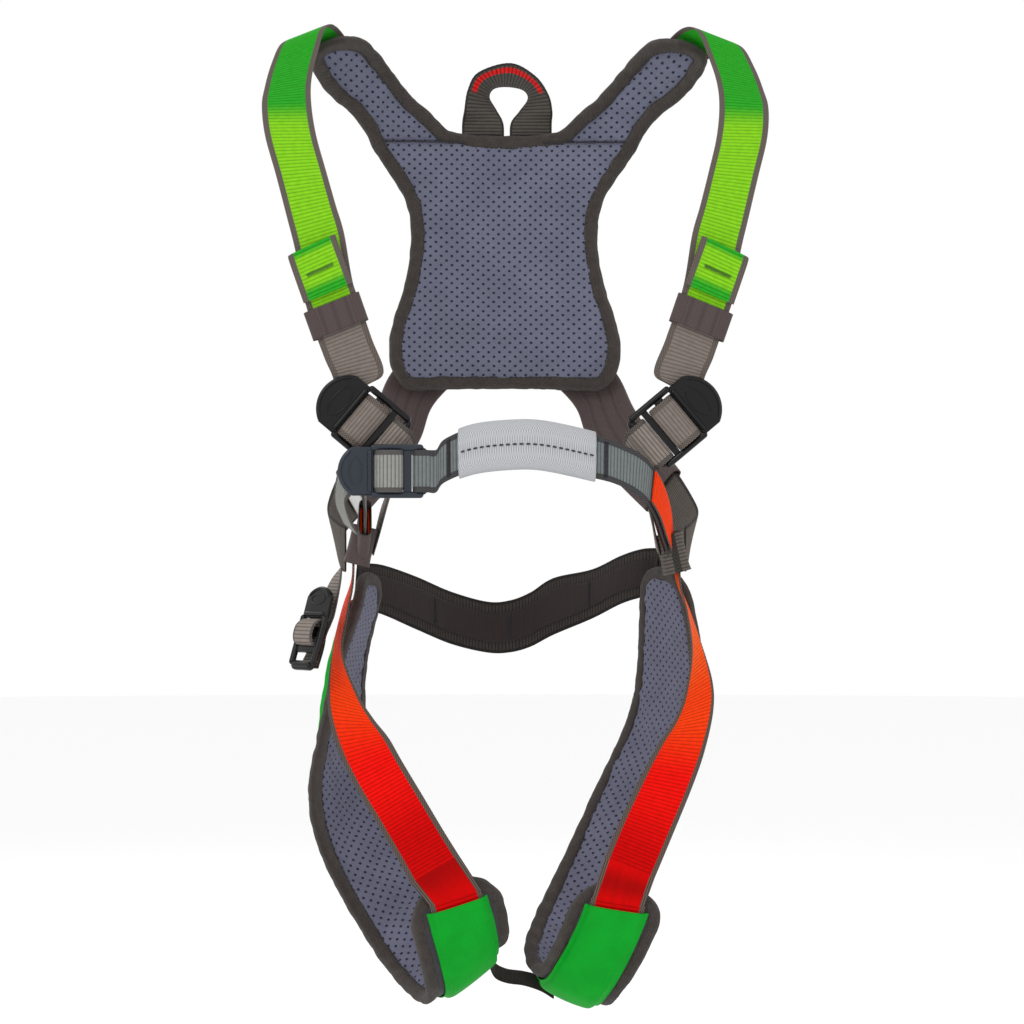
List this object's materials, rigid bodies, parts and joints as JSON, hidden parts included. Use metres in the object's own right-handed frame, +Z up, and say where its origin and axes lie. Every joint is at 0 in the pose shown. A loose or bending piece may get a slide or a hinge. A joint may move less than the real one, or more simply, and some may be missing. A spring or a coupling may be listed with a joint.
{
  "type": "full body climbing harness",
  "caption": "Full-body climbing harness: padded back, adjustable green shoulder straps, belly strap with sleeve and buckle, haul loop and padded leg loops.",
  "frame": {"origin": "centre of the wearer's hips, level with the belly strap's lower attachment, midway between left and right", "axes": "+Z up, +X to the wearer's left, -Y to the wearer's front"},
  "size_m": [0.4214, 0.3231, 0.8327],
  "materials": {
    "binding_tape": "twill tape",
    "black_buckle": "gloss",
    "brown_elastic": "woven elastic",
    "cover_cloth": "plain weave",
    "dark_webbing": "ribbed webbing",
    "green_cloth": "smooth cloth",
    "green_webbing": "ribbed webbing",
    "grey_webbing": "ribbed webbing",
    "mesh_lining": "perforated mesh",
    "orange_webbing": "ribbed webbing",
    "pad_foam": "closed-cell foam",
    "pale_knit": "knit",
    "slate_buckle": "semi-gloss",
    "white_label": "plain weave"
  },
  "bodies": {
    "harness": {"back_cross_patch": "cover_cloth", "back_pad_binding": "binding_tape", "back_pad_foam": "pad_foam", "back_pad_liner": "mesh_lining", "back_pad_shell": "cover_cloth", "blank_label": "white_label", "buckle_anchor_left": "grey_webbing", "buckle_anchor_right": "grey_webbing", "flank_sleeve_left": "brown_elastic", "flank_sleeve_right": "brown_elastic", "flank_strap_left": "dark_webbing", "flank_strap_right": "dark_webbing", "haul_loop_root_left": "dark_webbing", "haul_loop_root_right": "dark_webbing", "shoulder_buckle_left": "black_buckle", "shoulder_buckle_right": "black_buckle", "shoulder_pad_cover_left": "cover_cloth", "shoulder_pad_cover_right": "cover_cloth", "shoulder_pad_foam_left": "pad_foam", "shoulder_pad_foam_right": "pad_foam", "shoulder_pad_liner_left": "mesh_lining", "shoulder_pad_liner_right": "mesh_lining", "shoulder_webbing_left": "green_webbing", "shoulder_webbing_right": "green_webbing"},
    "haul_loop": {"haul_loop": "dark_webbing"},
    "bridge": {"bridge_adjuster": "grey_webbing", "bridge_buckle": "slate_buckle", "bridge_riser_inner_left": "orange_webbing", "bridge_riser_inner_right": "orange_webbing", "bridge_riser_outer_left": "orange_webbing", "bridge_riser_outer_right": "orange_webbing", "bridge_sleeve": "pale_knit", "bridge_webbing": "grey_webbing", "hip_keeper": "brown_elastic"},
    "leg_loops": {"crotch_elastic": "brown_elastic", "leg_adjuster": "grey_webbing", "leg_adjuster_anchor": "dark_webbing", "leg_buckle": "black_buckle", "leg_pad_binding_left": "binding_tape", "leg_pad_binding_right": "binding_tape", "leg_pad_cover_left": "cover_cloth", "leg_pad_cover_right": "cover_cloth", "leg_pad_foam_left": "pad_foam", "leg_pad_foam_right": "pad_foam", "leg_pad_liner_left": "mesh_lining", "leg_pad_liner_right": "mesh_lining", "leg_tunnel_left": "green_cloth", "leg_tunnel_right": "green_cloth", "leg_webbing_left": "orange_webbing", "leg_webbing_right": "orange_webbing", "seat_elastic": "brown_elastic", "seat_strap": "dark_webbing"},
    "keeper_right": {"shoulder_keeper_right": "brown_elastic"},
    "keeper_left": {"shoulder_keeper_left": "brown_elastic"},
    "shoulder_bar_right": {"shoulder_buckle_bar_right": "black_buckle"},
    "shoulder_bar_left": {"shoulder_buckle_bar_left": "black_buckle"},
    "bridge_bar": {"bridge_buckle_bar": "slate_buckle"},
    "leg_bar": {"leg_buckle_bar": "black_buckle"}
  },
  "joints": [
    {"name": "haul_loop_fold", "type": "hinge", "parent": "harness", "child": "haul_loop", "pos_m": [0.003, 0.143, 0.3431], "axis": [1, 0, 0], "range_deg": [-60, 25]},
    {"name": "bridge_swing", "type": "hinge", "parent": "harness", "child": "bridge", "pos_m": [0, -0.062, -0.029], "axis": [1, 0, 0], "range_deg": [0, 30]},
    {"name": "leg_loops_swing", "type": "hinge", "parent": "harness", "child": "leg_loops", "pos_m": [0, -0.06, -0.05], "axis": [1, 0, 0], "range_deg": [-30, 12]},
    {"name": "keeper_right_slide", "type": "slide", "parent": "harness", "child": "keeper_right", "axis": [0.339, -0.042, -0.9399], "range_m": [0, 0.022]},
    {"name": "keeper_left_slide", "type": "slide", "parent": "harness", "child": "keeper_left", "axis": [-0.339, -0.042, -0.9399], "range_m": [0, 0.022]},
    {"name": "shoulder_bar_right_slide", "type": "slide", "parent": "harness", "child": "shoulder_bar_right", "axis": [0.7659, 0, -0.6429], "range_m": [-0.0006, 0.0006]},
    {"name": "shoulder_bar_left_slide", "type": "slide", "parent": "harness", "child": "shoulder_bar_left", "axis": [-0.7659, 0, -0.6429], "range_m": [-0.0006, 0.0006]},
    {"name": "bridge_bar_slide", "type": "slide", "parent": "bridge", "child": "bridge_bar", "axis": [1, 0, 0], "range_m": [-0.0006, 0.0006]},
    {"name": "leg_bar_slide", "type": "slide", "parent": "leg_loops", "child": "leg_bar", "axis": [-0.2495, -0.1983, -0.9479], "range_m": [-0.0006, 0.0006]}
  ]
}
